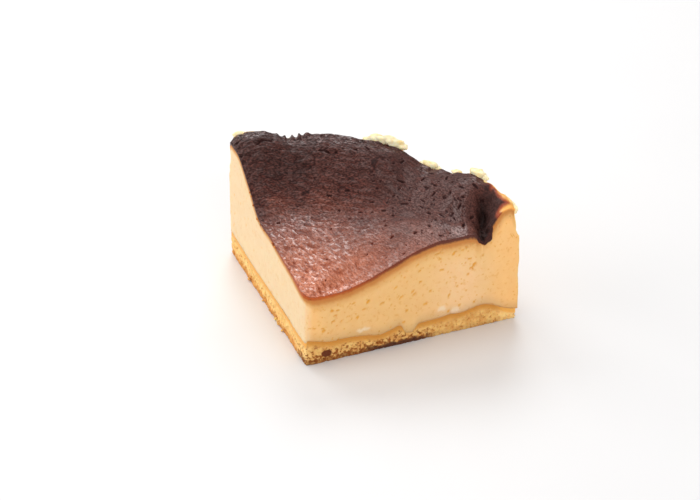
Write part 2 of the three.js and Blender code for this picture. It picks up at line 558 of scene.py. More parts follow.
wrinkleHeading = (0.91, -0.42, 0)  # the way that the crust's wrinkles run
foldHeading = (0.89, 0.45, 0)  # and the folds on its slope

cheeseLook = {
    "cells": 230,
    "rows": 48,
    "rowCrowd": 1.35,  # crowds the rows towards the crust
    "overlap": 0.15,  # how far it reaches down over the sponge
    "slopeStep": 0.2,  # half the distance over which the crust's slope is measured
    "tearFade": 1,  # half the height over which the wall becomes torn
    "cutRelief": 0.03,
    "wallRelief": 0.08,
    "tornRelief": 0.3,
    # pitch and seed of each pattern
    "grain": {
        "wrinkle": (0.9, 3.3), "fineWrinkle": (0.5, 9.1), "drift": (3.4, 2.2), "fold": (2.0, 5.2),
        "rough": (0.75, 1.7), "fade": (2.2, 7.1), "lump": (2.8, 8.4), "notch": (1.5, 4.9),
        "cut": (1.1, 6.1), "wall": (1.3, 4.4), "torn": (1.9, 7.7), "blob": (1.4, 5.5),
        "cloud": (7, 3.1), "patch": (2.6, 1.4), "tear": (2.6, 6.6), "amber": (1.6, 5.1), "speck": (1.1, 2.7),
    },
    # parts of the crust, by radius, turn and how far behind the crease: from where to where each sets in
    "zones": {
        "point": {"radius": (42, 20)},
        "slope": {"radius": (30, 43), "turn": (0.68, 0.42)},
        "plateau": {"radius": (24, 37), "turn": (0.42, 0.68)},
        "rim": {"radius": (49, 56)},
        "calm": {"radius": (4, 20), "turn": (0.3, 0.9)},
        "corner": {"behind": (-1, 1.5), "turn": (0.84, 0.9)},
        "crease": {"hump": ("behind", 0, 2), "turn": (0.84, 0.9)},
    },
    # relief in millimetres, and its share in the parts of the crust
    "wrinkles": {
        "rise": 0.42, "stretch": 2.6, "fine": 0.35, "valley": (0.05, 0.4),
        "share": 0.2, "point": 0.8, "plateau": 0.12, "calm": 0.55,
    },
    "folds": {
        "rise": 0.5, "stretch": 2.6, "crowding": 1.3, "drift": 0.6, "round": 2.2, "rough": 0.5, "sunk": 0.4,
        "share": 0.06, "slope": 0.94, "corner": 0.6, "rim": 0.5, "gap": (0.02, 0.13), "fade": (-0.3, 0.1),
    },
    "valleys": {"calm": 0.6, "plateau": 0.2},  # how much shallower
    "rim": {
        "lumps": 0.3, "smooth": 0.6, "ragged": 0.4, "raggedTurn": (0.4, 0.55), "creaseLumps": 0.5,
        "notches": 0.6, "notched": (0.25, 0.6), "notchRadius": (55, 57), "upright": (1, 1, 0.2),
        "toothReach": 1.6,
        # small teeth: turn, width and rise
        "teeth": [
            (0.142, 0.008, 0.5), (0.166, 0.005, 0.8), (0.19, 0.006, 1.2), (0.212, 0.005, 1.0),
            (0.236, 0.007, 0.8), (0.64, 0.006, -0.5), (0.676, 0.012, 0.5), (0.714, 0.01, -0.9),
            (0.84, 0.02, -0.7),
        ],
    },
    "pits": {
        "count": 110, "lengths": (0.25, 0.5), "slimness": (0.45, 0.7), "depths": (0.15, 0.3),
        "heading": wrinkleHeading, "wander": 0.9,
        "radius": 56, "turn": 0.96,  # none beyond these
        "share": 0.08, "plateau": 0.5, "point": 0.072,  # more on the plateau, fewer at the point
        # larger ones: radius, turn, half length, half width and heading, the sizes before these shares
        "largeLength": 0.85, "largeWidth": 0.75, "largeDepth": 0.5,
        "large": [
            (54.9, 0.845, 1.8, 0.5, 148), (42.8, 0.656, 1.6, 0.45, 13), (48.4, 0.589, 1.7, 0.4, 4),
            (46.5, 0.934, 1.2, 0.55, 100), (38.9, 0.956, 0.7, 0.5, 178), (50.2, 0.303, 1.6, 0.45, 172),
            (54.8, 0.881, 0.8, 0.5, 47), (20.4, 0.136, 1.4, 0.3, 16), (48.0, 0.737, 1.1, 0.5, 65),
            (52.6, 0.443, 1.1, 0.45, 151), (51.8, 0.925, 1.2, 0.55, 71), (29.7, 0.79, 1.0, 0.55, 85),
            (52.3, 0.817, 1.2, 0.5, 156), (48.6, 0.865, 1.4, 0.35, 95), (32.2, 0.084, 0.7, 0.55, 78),
            (41.9, 0.404, 1.3, 0.35, 35), (39.0, 0.592, 0.8, 0.6, 15), (54.6, 0.66, 1.3, 0.35, 160),
            (49.9, 0.913, 1.0, 0.45, 74), (47.9, 0.79, 0.9, 0.45, 157), (49.4, 0.686, 1.4, 0.35, 141),
            (53.1, 0.736, 1.3, 0.4, 95), (46.3, 0.602, 0.9, 0.3, 85), (53.6, 0.558, 1.2, 0.45, 76),
            (40.1, 0.332, 1.4, 0.3, 20), (49.4, 0.799, 1.0, 0.35, 106), (40.5, 0.521, 1.0, 0.3, 32),
            (50.0, 0.337, 0.8, 0.4, 170), (39.0, 0.864, 1.0, 0.35, 128), (51.7, 0.401, 0.9, 0.4, 9),
            (34.5, 0.862, 0.7, 0.6, 75), (42.5, 0.792, 1.0, 0.35, 154), (45.3, 0.719, 1.6, 0.3, 142),
            (36.7, 0.497, 0.8, 0.45, 8), (51.9, 0.652, 1.1, 0.35, 66), (50.2, 0.717, 1.0, 0.35, 150),
            (28.2, 0.385, 0.5, 0.4, 78), (37.9, 0.655, 0.9, 0.45, 143), (44.2, 0.521, 0.65, 0.35, 162),
            (33.4, 0.463, 0.65, 0.5, 13), (43.9, 0.598, 0.45, 0.35, 47), (50.5, 0.848, 0.75, 0.3, 176),
            (52.4, 0.771, 0.5, 0.35, 178), (45.5, 0.497, 0.7, 0.35, 21), (43.9, 0.842, 1.6, 0.25, 154),
            (43.4, 0.736, 1.2, 0.3, 148), (45.7, 0.892, 0.9, 0.3, 137), (34.5, 0.65, 0.55, 0.5, 100),
            (32.6, 0.685, 0.55, 0.5, 110), (37.1, 0.55, 0.5, 0.4, 20), (33.6, 0.528, 0.5, 0.4, 30),
            (25.1, 0.727, 0.55, 0.5, 60), (28.2, 0.955, 0.5, 0.45, 60), (21.7, 0.77, 0.4, 0.4, 60),
            (24.1, 0.896, 0.4, 0.4, 60), (36.6, 0.39, 0.45, 0.4, 20), (15.8, 0.461, 0.4, 0.4, 30),
            (8.4, 0.664, 0.4, 0.4, 30),
        ],
    },
    "pores": {
        "count": 130, "lengths": (0.25, 0.5), "slimness": (0.5, 0.9), "depths": (0.08, 0.2),
        "heading": (0, 0, 0.3), "wander": 0.6,
        "depth": 1.2,  # none above this
        "crowd": {"add": 2.5, "hump": ("depth", 2.5, 1.5), "radius": (34, 40)},
        "sparse": {"add": -0.7, "radius": (46, 51)},
        # larger ones on the right cut: radius, height, half length, half width, tilt and depth
        "large": [
            (1.0, 19.6, 0.4, 0.3, -12, 0.4), (7.5, 15.2, 0.65, 0.4, -2, 0.3),
            (9.0, 14.8, 0.6, 0.35, -12, 0.4), (8.2, 13.7, 0.45, 0.35, -12, 0.4),
            (7.8, 12.0, 0.7, 0.35, 28, 0.4), (4.8, 10.5, 0.45, 0.3, 8, 0.4), (5.1, 9.6, 0.6, 0.4, 18, 0.4),
            (17.3, 15.5, 0.8, 0.45, 63, 0.4), (21.4, 14.0, 0.8, 0.4, 13, 0.4),
            (16.1, 13.3, 0.65, 0.35, -7, 0.2), (14.4, 11.6, 0.55, 0.5, 48, 0.15),
            (30.3, 14.6, 0.65, 0.4, 13, 0.4), (26.9, 14.7, 0.95, 0.3, 33, 0.2),
            (34.9, 14.3, 0.5, 0.5, -12, 0.2), (32.2, 18.2, 0.5, 0.3, -2, 0.3),
            (31.9, 21.3, 0.65, 0.4, -12, 0.2), (31.3, 23.4, 0.5, 0.3, 8, 0.3),
            (30.7, 25.1, 0.5, 0.35, 38, 0.3), (33.6, 25.5, 0.5, 0.35, -2, 0.4),
            (36.7, 25.5, 0.95, 0.3, 13, 0.4), (37.9, 26.2, 0.8, 0.3, 38, 0.4),
            (38.6, 26.6, 0.4, 0.3, -52, 0.4), (37.5, 23.7, 0.45, 0.4, -12, 0.4),
            (41.4, 24.7, 0.95, 0.4, 48, 0.3), (46.1, 21.8, 1.0, 0.3, 18, 0.3),
            (47.5, 19.8, 0.8, 0.5, 48, 0.5), (46.6, 18.9, 0.65, 0.45, 18, 0.5),
            (38.1, 20.5, 0.8, 0.3, -2, 0.2), (45.0, 25.6, 0.5, 0.45, -12, 0.5),
            (46.4, 26.0, 0.45, 0.45, -12, 0.5), (33.5, 10.9, 0.65, 0.6, -12, 0.15),
            (40.4, 11.7, 0.8, 0.3, 68, 0.15), (58.1, 25.7, 0.8, 0.3, 8, 0.2),
        ],
    },
    "cracks": {
        # pit: how much of the pits' painted shade the cracks get
        "width": 0.28, "depth": 0.6, "wander": 0.12, "grain": (1.1, 3.7), "pit": 0.35,
        # radius and turn of the bends of each one
        "lines": [
            [(51.2, 0.065), (52.1, 0.08), (52.7, 0.099), (53, 0.117), (54.3, 0.127)],
            [(55.2, 0.007), (54.8, 0.016), (55.3, 0.028)],
            [(50.6, 0.003), (49.2, 0.014), (48.6, 0.033)],
            [(50.3, 0.281), (50.8, 0.294), (51.1, 0.307)],
        ],
    },
    "blob": {
        "radius": 50.0, "height": 28.0, "halfWidth": 2.3, "halfHeight": 2.7, "stand": 0.7,
        "taper": 0.12, "squareness": 3, "raggedness": 0.5, "cover": (0, 0.3),
    },
    # pale specks on the right cut: radius, height, half width and half height
    "specks": {
        "raggedness": 0.6,
        "places": [(16, 7.3, 2.6, 0.8), (42.2, 6.9, 1.7, 1.0), (38.4, 8.0, 1.9, 1.0)],
    },
    # how scorched the crust is, from 0 to 1
    "scorch": {
        "most": 0.9, "radius": (3, 50), "clouds": 0.08, "mottle": 0.06, "mottleCalm": 0.6,
        "early": {"add": 2, "turn": (0.45, 0.1), "radius": (15, 30)},  # nearer to the point on the left
        "layers": [
            {"add": 0.3, "zone": "corner"},
            {"add": -0.02, "zone": "plateau"},
            # painted light: the plateau's right part lighter, to even out the shade of its rise towards the
            # rim
            {"add": -0.12, "zone": "plateau", "turn": (0.76, 0.95)},
            {"add": 0.06, "zone": "slope", "turn": (0.3, 0.2)},
        ],
        # patches: radius, turn, how far each reaches and how much darker it is
        "patches": [
            (26, 0.56, 9, 0.16, 0.1), (26, 0.2, 9, 0.14, -0.08), (38.5, 0.13, 4.5, 0.13, -0.14),
            (38.5, 0.33, 4, 0.12, -0.08), (39, 0.52, 4, 0.08, -0.06), (31, 0.83, 5, 0.12, 0.1),
            (13.5, 0.7, 4, 0.12, -0.06), (20, 0.53, 4, 0.12, 0.04),
        ],
    },
    "tear": {"wander": 0.9, "radius": (58.1, 58.9)},
    "amber": {
        "wander": 0.9, "turn": (0.84, 0.9), "start": 56.3, "width": 2.4, "edgeTurn": (0.962, 1),
        "edgeRadius": (52.6, 56.5), "amber": (0.03, 0.4), "honey": (0.4, 0.9), "dulled": (0, 0.2),
    },
    # thickness of the browned edge that the cuts show
    "rind": {
        "layers": [
            {"add": 1.05},
            {"add": -0.13, "radius": (3, 12)},
            {"add": -0.15, "radius": (24, 36)},
            {"add": 0.25, "radius": (24, 36), "turn": (0.4, 0.6)},
        ],
        "thin": {"add": -0.8, "radius": (51.5, 54.5)},
        "wideLeft": 2.2, "wideRight": 1.2,  # how sharply it ends, and how much softer on the right
        "torn": 10,
    },
    # painted light and shade: from the left cut's lit colours to the right one's shaded ones, and how both
    # meet at the point
    "shade": {"turn": (0.05, 0.6), "point": 0.45, "roundLeft": 1.6, "roundRight": 2.6},
    "toast": {"depth": (4, 0.8), "radius": (33, 39)},  # browned pores under the crust's right end
    # how strong each colour is, and where it sets in
    "paint": {
        "end": 0.8, "point": 0.6, "pointRadius": (2, 7),
        "pale": {"hump": ("radius", 44, 8), "depth": (3, 10)},
        "lowShade": (0, 3.5), "band": {"left": 0.2, "right": 0.6, "above": (-0.1, 0.7)},
        "pore": 0.95, "poreMark": (0.02, 0.45), "speck": 0.45, "wall": 0.9, "torn": 0.9,
        "browning": {"patch": (-0.2, 0.5), "low": 0.15, "depth": (2, 16)},
        # crease: strength of the painted shade in the crease's groove, and where it stops towards the rim
        "crease": 0.8, "creaseShadeEnd": (54, 56), "calm": 0.1, "calmPlateau": 0.25, "sideValley": 0.5,
    },
    # strength of the crust's gloss
    "sheen": [
        {"add": 0.14},
        {"add": 0.62, "radius": (40, 12)},
        {"add": -0.341, "radius": (40, 12), "zone": "calm"},
        {"add": 0.3, "zone": "rim"},
        {"add": -0.28, "zone": "rim", "turn": (0.4, 0.48)},
        {"add": -0.06, "zone": "plateau", "behind": (-2, -9)},
        {"add": 0.06, "zone": "plateau", "behind": (-2, -9), "turn": (0.78, 0.9)},
        {"add": 0.3, "zone": "plateau", "behind": (-2, -9), "turn": (0.78, 0.9), "radius": (40, 46)},
        {"add": 0.1, "hump": ("turn", 0.6, 0.06), "radius": (40, 45)},
        {"add": 0.26, "hump": ("radius", 30, 8), "turn": (0.45, 0.25)},
        {"add": -0.06, "zone": "slope", "turn": (0.45, 0.25)},
        {"add": -0.5, "zone": "corner", "amber": (0.2, 0)},
        {"add": -1, "zone": "crease"},
    ],
}


def cheeseGrain(points, name):
    return grain(points, *cheeseLook["grain"][name])


def cheeseFoot(radius, turn):
    return spongeTop(radius, turn) - cheeseLook["overlap"]


def crustRelief(skin):  # how far the crust stands out, and how far each place lies in a valley of it
    points, radius, turn, zones = (skin[key] for key in ("points", "radius", "turn", "zones"))
    ridged, folded, rim, valleys = (cheeseLook[key] for key in ("wrinkles", "folds", "rim", "valleys"))
    heading = np.array(wrinkleHeading)
    across = np.array([-heading[1], heading[0], 0])
    streaks = np.stack([points @ heading / ridged["stretch"], points @ across, 0 * points[:, 2]], 1)
    wrinkle = cheeseGrain(streaks, "wrinkle") + ridged["fine"] * cheeseGrain(streaks, "fineWrinkle")
    along = turn * wedge["angle"] * radius
    across = folded["crowding"] * radius + folded["drift"] * cheeseGrain(points, "drift")
    folds = np.stack([along / folded["stretch"], across, 0 * along], 1)
    gaps = np.abs(cheeseGrain(folds, "fold"))  # zero along the lines between the folds
    fold = folded["round"] * gaps + folded["rough"] * cheeseGrain(folds, "rough") - folded["sunk"]
    lumps = cheeseGrain(points, "lump")
    notches = smooth(cheeseGrain(points * rim["upright"], "notch"), *rim["notched"])
    wrinkleShare = ridged["share"] + ridged["point"] * zones["point"] - ridged["plateau"] * zones["plateau"]
    wrinkleShare = wrinkleShare * (1 - ridged["calm"] * zones["calm"])
    foldShare = folded["share"] + folded["slope"] * zones["slope"] + folded["corner"] * zones["corner"]
    ragged = 1 - smooth(turn, *rim["raggedTurn"])
    rimShare = zones["rim"] * (rim["smooth"] + rim["ragged"] * ragged)
    teeth = sum(rise * hump(turn - at, width) for at, width, rise in rim["teeth"])
    relief = (
        ridged["rise"] * wrinkleShare * wrinkle
        + folded["rise"] * foldShare * (1 - folded["rim"] * zones["rim"]) * fold
        + rim["lumps"] * rimShare * lumps
        + hump(radius - crustForm["crest"], rim["toothReach"]) * teeth
        - rim["notches"] * smooth(radius, *rim["notchRadius"]) * ragged * notches
        + rim["creaseLumps"] * zones["crease"] * (lumps + fold)
    )
    broken = smooth(cheeseGrain(points, "fade"), *folded["fade"])  # the gaps fade out here and there
    between = (1 - smooth(gaps, *folded["gap"])) * broken
    valley = blend(between, smooth(-wrinkle, *ridged["valley"]), zones["point"])
    return relief, valley * (1 - valleys["calm"] * zones["calm"] - valleys["plateau"] * zones["plateau"])


def markFilling(skin):  # the faces of the filling, the depth under the crust, and where it is torn or covered
    radius, turn, height, look = skin["radius"], skin["turn"], skin["height"], cheeseLook
    skin["base"] = skin["points"]  # without relief, for the patterns
    skin["behind"] = creaseDistance(radius, turn)
    skin["zones"] = {name: span(skin, form) for name, form in look["zones"].items()}
    skin["wall"] = skin["wall"] & skin["side"]
    skin["cut"] = (skin["left"] | skin["right"]) & skin["side"] & ~skin["wall"]
    skin["plan"] = plan = np.minimum(radius, wedge["radius"])
    step, crease = look["slopeStep"], crustForm["crease"]
    slope = (crustHeight(plan + step, turn) - crustHeight(plan - step, turn)) / (2 * step)
    slope = np.clip(slope, -1, 1)
    creased = crease["depth"] * hump(creaseDistance(plan, turn), crease["width"]) * skin["right"]
    fall = crustHeight(plan, turn) - height + creased  # the browning ignores the crease
    skin["depth"] = np.where(skin["top"], 0, fall / np.sqrt(1 + slope**2))
    tear, fade = wallForm["tearHeight"], look["tearFade"]
    skin["torn"] = smooth(height, tear - fade, tear + fade) * skin["wall"]
    form = look["blob"]
    lower = (height - form["height"]) / form["halfHeight"]
    sideways = (radius - form["radius"]) / (form["halfWidth"] * (1 + form["taper"] * np.clip(lower, -1, 1)))
    power, ragged = form["squareness"], form["raggedness"] * cheeseGrain(skin["base"], "blob")
    blob = 1 - np.abs(sideways) ** power - np.abs(lower) ** power + ragged
    skin["blob"] = np.clip(blob, 0, 1) * skin["right"]


def roughenFilling(skin):
    look, base = cheeseLook, skin["base"]
    crust, skin["valley"] = crustRelief(skin)
    cut = longWave(base) + look["cutRelief"] * cheeseGrain(base, "cut")
    torn = look["tornRelief"] * skin["torn"] * cheeseGrain(base, "torn")
    relief = np.where(skin["top"], crust, 0)
    relief += np.where(skin["cut"], cut, 0)
    relief += np.where(skin["wall"], look["wallRelief"] * cheeseGrain(base, "wall") + torn, 0)
    relief += look["blob"]["stand"] * np.sqrt(skin["blob"])
    swellBy(skin, relief)
    print("baked cheese: relief on", len(base), "points")


def pittedCrust(skin):  # the bowls of the crust
    radius, turn, zones, form = skin["radius"], skin["turn"], skin["zones"], cheeseLook["pits"]
    share = form["share"] + form["plateau"] * zones["plateau"] - form["point"] * zones["point"]
    share = share + zones["corner"]
    weights = skin["top"] * (radius < form["radius"]) * (turn < form["turn"]) * share
    pits = scatterBowls(weights, form)
    onTop = np.flatnonzero(skin["top"])
    for at, around, length, width, heading in form["large"]:
        far = np.hypot(radius[onTop] - at, (turn[onTop] - around) * at * wedge["angle"])
        lie = np.array([math.cos(math.radians(heading)), math.sin(math.radians(heading)), 0])
        sizes = form["largeLength"] * length, form["largeWidth"] * width, form["largeDepth"]
        pits.append((onTop[np.argmin(far)], *sizes, lie))
    return pits


def poredCuts(skin):  # the bowls of the cuts
    radius, height, depth, form = skin["radius"], skin["height"], skin["depth"], cheeseLook["pores"]
    weights = skin["cut"] * (depth > form["depth"]) * (1 + layered(skin, [form["crowd"]]))
    weights = weights * (1 + layered(skin, [form["sparse"]]) * skin["right"])
    pores = scatterBowls(weights, form)
    onRight = np.flatnonzero(skin["right"] & skin["side"])
    outward = slicePoint(1, 1, 0) * (1, 1, 0)
    for at, level, length, width, tilt, sunk in form["large"]:
        place = onRight[np.argmin(np.hypot(radius[onRight] - at, height[onRight] - level))]
        lie = outward * math.cos(math.radians(tilt)) + np.array([0, 0, math.sin(math.radians(tilt))])
        pores.append((place, length, width, sunk, lie))
    return pores


def hollowFilling(skin):
    pitSink, pit = sinkBowls(skin, pittedCrust(skin))
    poreSink, skin["pore"] = sinkBowls(skin, poredCuts(skin))
    crackSink, crack = sinkCracks(skin, cheeseLook["cracks"])
    skin["pit"] = np.maximum(pit, cheeseLook["cracks"]["pit"] * crack)
    swellBy(skin, -np.where(skin["top"], np.maximum(pitSink, crackSink), poreSink))


def scorchCrust(skin):
    radius, turn, form = skin["radius"], skin["turn"], cheeseLook["scorch"]
    scorch = form["most"] * smooth(radius + layered(skin, [form["early"]]), *form["radius"])
    scorch += layered(skin, form["layers"]) + form["clouds"] * cheeseGrain(skin["base"], "cloud")
    for at, around, reach, turnReach, darker in form["patches"]:
        scorch += darker * hump(radius - at, reach) * hump(turn - around, turnReach)
    skin["scorch"] = np.clip(scorch + skin["blob"], 0, 1)


def ageFilling(skin):  # the torn edge, the amber rim, the browned edge and the turn to the right's colours
    radius, turn, base = skin["radius"], skin["turn"], skin["base"]
    tearing, form, rind, shade = (cheeseLook[key] for key in ("tear", "amber", "rind", "shade"))
    ragged = radius + tearing["wander"] * cheeseGrain(base, "tear")
    skin["tear"] = np.clip(np.where(skin["top"], smooth(ragged, *tearing["radius"]), 0) + skin["torn"], 0, 1)
    wander = radius + form["wander"] * cheeseGrain(base, "amber")
    amber = smooth(turn, *form["turn"]) * np.clip((wander - form["start"]) / form["width"], 0, 1)
    skin["amber"] = np.maximum(amber, smooth(turn, *form["edgeTurn"]) * smooth(wander, *form["edgeRadius"]))
    skin["rind"] = layered(skin, rind["layers"]) * (1 + layered(skin, [rind["thin"]]) * skin["right"])
    shaded = smooth(turn, *shade["turn"])
    rounded = smooth(radius, 0, blend(shade["roundLeft"], shade["roundRight"], shaded))
    skin["shaded"] = np.where(skin["cut"], blend(shade["point"], shaded, rounded), shaded)


# painted light and shade: the left cut lit and pale, the right cut shaded and golden, with painted shade low
# above the sponge
def paintCheese(skin, patchy):  # pale on the left cut, golden on the right one, browned on the wall
    radius, turn = skin["radius"], skin["turn"]
    form, toast, specks, tones = cheeseLook["paint"], cheeseLook["toast"], cheeseLook["specks"], cheeseTones
    pale, band, browned, shaded = form["pale"], form["band"], form["browning"], skin["shaded"]
    above = skin["height"] - spongeTop(skin["plan"], turn)
    atPoint = form["point"] * (1 - smooth(radius, *form["pointRadius"]))
    cheese = paint(tones["right"], tones["rightEnd"], np.maximum(form["end"] * skin["zones"]["rim"], atPoint))
    cheese = paint(cheese, tones["rightPale"], span(skin, pale))
    # painted light: the lit left cut's paler colours over the shaded right one's
    cheese = paint(cheese, tones["left"], 1 - shaded)
    cheese = cheese * paint(np.ones(4), tones["lowShade"], shaded * (1 - smooth(above, *form["lowShade"])))
    banded = blend(band["left"], band["right"], shaded) * (1 - smooth(above, *band["above"]))
    cheese = paint(cheese, tones["band"], banded * (1 - spongeBreak(radius, turn)))
    toasted = span(skin, toast) * skin["right"]
    # painted shade in the pores, darker and more orange than the cut and paler on the lit left cut; browned
    # under the crust's right end
    poreTones = paint(paint(tones["pore"], tones["poreBrown"], toasted), tones["poreLeft"], 1 - shaded)
    cheese = paint(cheese, poreTones, form["pore"] * smooth(skin["pore"], *form["poreMark"]))
    ragged = specks["raggedness"] * cheeseGrain(skin["base"], "speck")
    speck = np.zeros(len(radius))
    for place in specks["places"]:
        speck = np.maximum(speck, rightSpot(skin, *place, ragged))
    cheese = paint(cheese, tones["speck"], form["speck"] * smooth(speck, 0, 1))
    browning = smooth(patchy, *browned["patch"]) * blend(1, browned["low"], span(skin, browned))
    wallTones = paint(tones["wallSkin"], tones["wallBrown"], browning)
    cheese = paint(cheese, wallTones, form["wall"] * skin["wall"] * (1 - skin["tear"]))
    return paint(cheese, tones["torn"], form["torn"] * skin["tear"])


# with painted shade near black in the crease's groove
def paintCrust(skin, patchy):  # caramel at the point, scorched towards the rim, rustier on the cuts
    scorch, zones, amber, tones = skin["scorch"], skin["zones"], skin["amber"], cheeseTones
    form, scorched = cheeseLook["paint"], cheeseLook["scorch"]
    mottled = scorch + scorched["mottle"] * (1 - scorched["mottleCalm"] * zones["plateau"]) * patchy
    deep = [(0.75, tones["dark"]), (1.0, tones["char"])]
    onTop = rampTones(mottled, [(0.0, tones["caramel"]), (0.4, tones["brown"]), *deep])
    onCuts = rampTones(scorch, [(0.0, tones["rust"]), (0.4, tones["rustDark"]), *deep])
    crust = np.where(skin["top"][:, None], onTop, onCuts)
    # painted shade: near black in the crease's groove
    creased = zones["crease"] * skin["top"] * (1 - smooth(skin["radius"], *form["creaseShadeEnd"]))
    crust = paint(crust, tones["crease"], form["crease"] * creased)
    crust = paint(crust, tones["amber"], smooth(amber, *cheeseLook["amber"]["amber"]))
    return paint(crust, tones["honey"], smooth(amber, *cheeseLook["amber"]["honey"]))


def makeFilling(material):
    look = cheeseLook
    bm = squareLid(look["cells"])
    skin = sliceSkin("bakedCheese", bm, look["rows"], look["rowCrowd"], cheeseFoot, crustHeight, wallRadius)
    for stage in (markFilling, roughenFilling, hollowFilling, scorchCrust, ageFilling):
        stage(skin)
    form, rind, zones, mesh = look["paint"], look["rind"], skin["zones"], skin["mesh"]
    patchy = cheeseGrain(skin["base"], "patch")
    noteTones(mesh, "cheeseTone", paintCheese(skin, patchy))
    noteTones(mesh, "crustTone", paintCrust(skin, patchy))
    uncovered = skin["depth"] * (1 - smooth(skin["blob"], *look["blob"]["cover"]))
    wider = rind["wideLeft"] - rind["wideRight"] * skin["shaded"]
    calm = form["calm"] * zones["calm"] + form["calmPlateau"] * zones["plateau"]
    calm = np.clip(calm + smooth(skin["amber"], *look["amber"]["dulled"]), 0, 1)
    marks = {
        "depth": uncovered,
        "edge": (uncovered - skin["rind"]) * wider + rind["torn"] * skin["tear"],
        "tear": skin["tear"],
        "pit": np.where(skin["top"], skin["pit"], 0),
        "valley": np.where(skin["top"], skin["valley"], form["sideValley"]),
        "point": zones["point"],
        "calm": calm,
        "sheen": np.clip(layered(skin, look["sheen"]), 0, 1),
        "slope": zones["slope"],
        "shaded": skin["shaded"],
    }
    for name, values in marks.items():
        note(mesh, name, values)
    piece = finishPiece(mesh, "bakedCheese", material)
    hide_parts("cheese_filling")
    print("baked cheese: faces", len(mesh.polygons))


cheeseTones = {
    # the left cut's colours are painted lit and the right cut's painted shaded, from one cheese
    "left": tone(243, 213, 169),
    "right": tone(239, 192, 127),
    "rightEnd": tone(252, 196, 124),
    "rightPale": tone(246, 202, 149),
    "band": tone(214, 148, 78),
    "lowShade": (0.84, 0.82, 0.85, 1),
    "pore": tone(228, 162, 58),
    "poreLeft": tone(244, 200, 128),
    "poreBrown": tone(150, 84, 36),
    "speck": tone(250, 236, 214),
    "wallSkin": tone(232, 178, 104),
    "wallBrown": tone(196, 124, 60),
    "torn": tone(252, 222, 162),
    "rust": tone(182, 84, 24),
    "rustDark": tone(128, 54, 22),
    "orange": tone(198, 128, 60),
    "golden": tone(222, 166, 96),
    "caramel": tone(198, 120, 89),
    "brown": tone(143, 84, 66),
    "dark": tone(78, 40, 32),
    "char": tone(58, 30, 25),
    # painted shade inside the pits and cracks, paler at the point
    "pit": tone(46, 14, 10),
    "pitPale": tone(104, 34, 10),
    # painted shade in the crease's groove
    "crease": tone(32, 17, 14),
    "amber": tone(150, 66, 36),
    "honey": tone(240, 174, 88),
    # tints that multiply a colour
    "patchTint": (0.97, 0.92, 0.84, 1),
    "fleckTint": (0.9, 0.75, 0.45, 1),
    "spotTint": (0.9, 0.74, 0.4, 1),
    "cleft": (1.3, 0.8, 0.65, 1),
    # painted shade deep in the valleys, and in the valleys at the point
    "cleftDeepShade": (0.4, 0.2, 0.15, 1),
    "cleftShadePoint": (0.62, 0.38, 0.2, 1),
    # painted highlight on the crust's crests
    "raised": (1.6, 1.7, 1.7, 1),
    "raisedPoint": (1.05, 1.05, 1.05, 1),
    # painted shade and painted highlight in fine streaks
    "streakShade": (0.45, 0.33, 0.3, 1),
    "streakShadePoint": (0.7, 0.58, 0.5, 1),
    "streakGlint": (1.6, 1.64, 1.68, 1),
    "streakGlintPoint": (1.14, 1.15, 1.16, 1),
}

cheeseFinish = {
    # sizes of the patterns in millimetres
    "patch": 2.6, "fine": 0.7, "fleck": 1.1, "spot": 1.1, "wrinkle": 0.75, "fold": 0.6, "thread": 0.36,
    "stretch": (2, 1, 1),  # of wrinkles and folds, along their heading
    # where each pattern sets in, and how strong it is on the left and how much more on the right
    "patched": (0.35, 0.7), "patchShare": 0.5,
    "flecked": (0.56, 0.7), "fleckLeft": 0.4, "fleckRight": 0.15,
    "spotRagged": 0.5, "spotReach": 0.26, "spotLeft": 0.3, "spotRight": 0.5,
    # the browned edge: how it wanders, and where it turns orange, golden and cheese
    "wanderFine": 0.6, "wanderPatchy": 0.8, "orange": (-0.5, 0.5), "golden": (0.6, 2.2), "cheese": (1.2, 4.0),
    "dimplePatchy": 0.4, "dimpleFine": 0.6, "dimple": 0.4, "dimpleDepth": 0.15,
    "cleft": (0.4, 0.9), "raised": (0.54, 0.68), "threaded": (0.38, 0.62), "hollow": (0.05, 0.35),
    "bumpRest": 0.35, "bumpPoint": 0.65, "bumpFine": 0.1, "bumpDepth": 0.8,
    "glossPoint": (0.5, 0.62), "glossRest": (0.4, 0.6),
    "glossLeast": 0.2, "glossMore": 1.12, "glossCleft": 0.8,
    "roughRest": 0.7, "roughPoint": 0.25, "crust": (0.3, 0.05), "roughCheese": 0.5, "roughFine": 0.15,
    "soak": {"weight": 0.25, "radius": (1.0, 0.55, 0.25), "depth": 3, "specular": 0.3},
}


